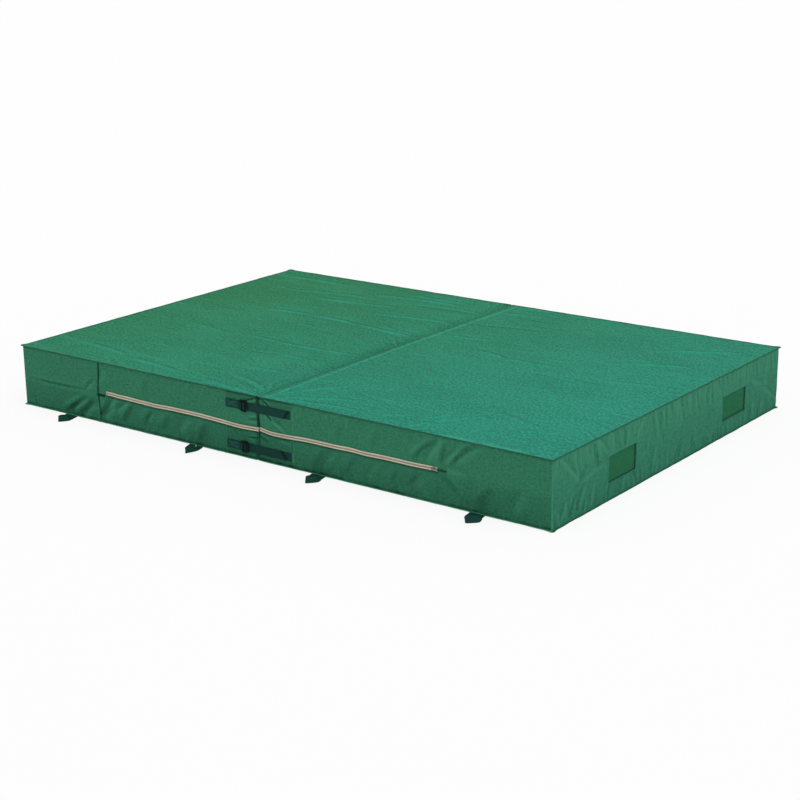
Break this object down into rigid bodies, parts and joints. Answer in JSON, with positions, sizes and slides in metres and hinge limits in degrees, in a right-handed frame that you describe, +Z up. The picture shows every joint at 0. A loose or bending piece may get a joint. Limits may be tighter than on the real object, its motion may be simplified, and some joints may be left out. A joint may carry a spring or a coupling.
{
  "type": "crash landing mat",
  "caption": "Thick folding foam landing mat in a sewn green cover, with fold straps in ladder locks, webbing carry loops, vent windows and a long side zip.",
  "frame": {"origin": "middle of the footprint, on the floor that the mat lies on", "axes": "+X along the length, from the half with the ladder locks to the half that the straps are sewn to; -Y the side with the zip; +Z up"},
  "size_m": [3.012, 2.228, 0.3],
  "materials": {
    "cover_top": "satin",
    "cover_wall": "satin",
    "vent_mesh": "matte",
    "webbing": "matte",
    "lock_plastic": "satin",
    "zip_tape": "matte",
    "zip_coil": "matte",
    "zip_metal": "satin",
    "foam": "matte"
  },
  "bodies": {
    "left_half": {"foam_core_left": "foam", "base_panel_left": "cover_wall", "top_panel_left": "cover_top", "front_wall_end_panel": "cover_wall", "front_wall_left": "cover_wall", "back_wall_left": "cover_wall", "end_wall_left": "cover_wall", "fold_wall_left": "cover_wall", "front_patch_left": "cover_wall", "back_patch_left": "cover_wall", "vent_mesh_left_front": "vent_mesh", "vent_mesh_left_back": "vent_mesh", "top_flange_left": "cover_wall", "base_flange_left": "cover_wall", "zip_tape_left": "zip_tape", "zip_coil_left": "zip_coil", "zip_stop_left": "zip_metal", "anchor_strap_front_high": "webbing", "anchor_strap_front_low": "webbing", "anchor_strap_back_high": "webbing", "anchor_strap_back_low": "webbing"},
    "right_half": {"foam_core_right": "foam", "base_panel_right": "cover_wall", "top_panel_right": "cover_top", "front_wall_right": "cover_wall", "back_wall_right": "cover_wall", "end_wall_right": "cover_wall", "fold_wall_right": "cover_wall", "front_patch_right": "cover_wall", "back_patch_right": "cover_wall", "vent_mesh_right_front": "vent_mesh", "vent_mesh_right_back": "vent_mesh", "top_flange_right": "cover_wall", "base_flange_right": "cover_wall", "zip_tape_right": "zip_tape", "zip_coil_right": "zip_coil", "zip_stop_right": "zip_metal", "closing_strap_front_high": "webbing", "closing_strap_front_low": "webbing", "closing_strap_back_high": "webbing", "closing_strap_back_low": "webbing"},
    "ladder_lock_front_high": {"ladder_lock_front_high": "lock_plastic"},
    "ladder_lock_front_low": {"ladder_lock_front_low": "lock_plastic"},
    "ladder_lock_back_high": {"ladder_lock_back_high": "lock_plastic"},
    "ladder_lock_back_low": {"ladder_lock_back_low": "lock_plastic"},
    "carry_loop_front_left_outer": {"carry_loop_front_left_outer": "webbing"},
    "carry_loop_front_left_inner": {"carry_loop_front_left_inner": "webbing"},
    "carry_loop_front_right_inner": {"carry_loop_front_right_inner": "webbing"},
    "carry_loop_front_right_outer": {"carry_loop_front_right_outer": "webbing"},
    "carry_loop_back_left_outer": {"carry_loop_back_left_outer": "webbing"},
    "carry_loop_back_left_inner": {"carry_loop_back_left_inner": "webbing"},
    "carry_loop_back_right_inner": {"carry_loop_back_right_inner": "webbing"},
    "carry_loop_back_right_outer": {"carry_loop_back_right_outer": "webbing"},
    "zip_slider": {"zip_slider": "zip_metal"},
    "zip_pull": {"zip_pull": "zip_metal", "zip_pull_tab": "cover_wall"}
  },
  "joints": [
    {"name": "fold", "type": "hinge", "parent": "left_half", "child": "right_half", "pos_m": [0, 0, 0.3004], "axis": [0, -1, 0], "range_deg": [0, 180], "deforming": ["closing_strap_front_high", "closing_strap_front_low", "closing_strap_back_high", "closing_strap_back_low"]},
    {"name": "lock_tilt_front_high", "type": "hinge", "parent": "left_half", "child": "ladder_lock_front_high", "pos_m": [-0.092, -1.00545, 0.24], "axis": [0, 0, -1], "range_deg": [0, 12]},
    {"name": "lock_tilt_front_low", "type": "hinge", "parent": "left_half", "child": "ladder_lock_front_low", "pos_m": [-0.092, -1.00545, 0.053], "axis": [0, 0, -1], "range_deg": [0, 12]},
    {"name": "lock_tilt_back_high", "type": "hinge", "parent": "left_half", "child": "ladder_lock_back_high", "pos_m": [-0.092, 1.00545, 0.24], "axis": [0, 0, 1], "range_deg": [0, 12]},
    {"name": "lock_tilt_back_low", "type": "hinge", "parent": "left_half", "child": "ladder_lock_back_low", "pos_m": [-0.092, 1.00545, 0.053], "axis": [0, 0, 1], "range_deg": [0, 12]},
    {"name": "loop_lift_front_left_outer", "type": "hinge", "parent": "left_half", "child": "carry_loop_front_left_outer", "pos_m": [-1.16, -1.0073, 0.002], "axis": [-1, 0, 0], "range_deg": [0, 70]},
    {"name": "loop_lift_front_left_inner", "type": "hinge", "parent": "left_half", "child": "carry_loop_front_left_inner", "pos_m": [-0.35, -1.0073, 0.002], "axis": [-1, 0, 0], "range_deg": [0, 70]},
    {"name": "loop_lift_front_right_inner", "type": "hinge", "parent": "right_half", "child": "carry_loop_front_right_inner", "pos_m": [0.35, -1.0073, 0.002], "axis": [-1, 0, 0], "range_deg": [0, 70]},
    {"name": "loop_lift_front_right_outer", "type": "hinge", "parent": "right_half", "child": "carry_loop_front_right_outer", "pos_m": [1.16, -1.0073, 0.002], "axis": [-1, 0, 0], "range_deg": [0, 70]},
    {"name": "loop_lift_back_left_outer", "type": "hinge", "parent": "left_half", "child": "carry_loop_back_left_outer", "pos_m": [-1.16, 1.0073, 0.002], "axis": [1, 0, 0], "range_deg": [0, 70]},
    {"name": "loop_lift_back_left_inner", "type": "hinge", "parent": "left_half", "child": "carry_loop_back_left_inner", "pos_m": [-0.35, 1.0073, 0.002], "axis": [1, 0, 0], "range_deg": [0, 70]},
    {"name": "loop_lift_back_right_inner", "type": "hinge", "parent": "right_half", "child": "carry_loop_back_right_inner", "pos_m": [0.35, 1.0073, 0.002], "axis": [1, 0, 0], "range_deg": [0, 70]},
    {"name": "loop_lift_back_right_outer", "type": "hinge", "parent": "right_half", "child": "carry_loop_back_right_outer", "pos_m": [1.16, 1.0073, 0.002], "axis": [1, 0, 0], "range_deg": [0, 70]},
    {"name": "zip_run", "type": "slide", "parent": "right_half", "child": "zip_slider", "axis": [1, 0, 0], "range_m": [-1.856, 0]},
    {"name": "pull_swing", "type": "hinge", "parent": "zip_slider", "child": "zip_pull", "pos_m": [0.93565, -1.0044, 0.15], "axis": [0, 0, -1], "range_deg": [0, 180]}
  ]
}
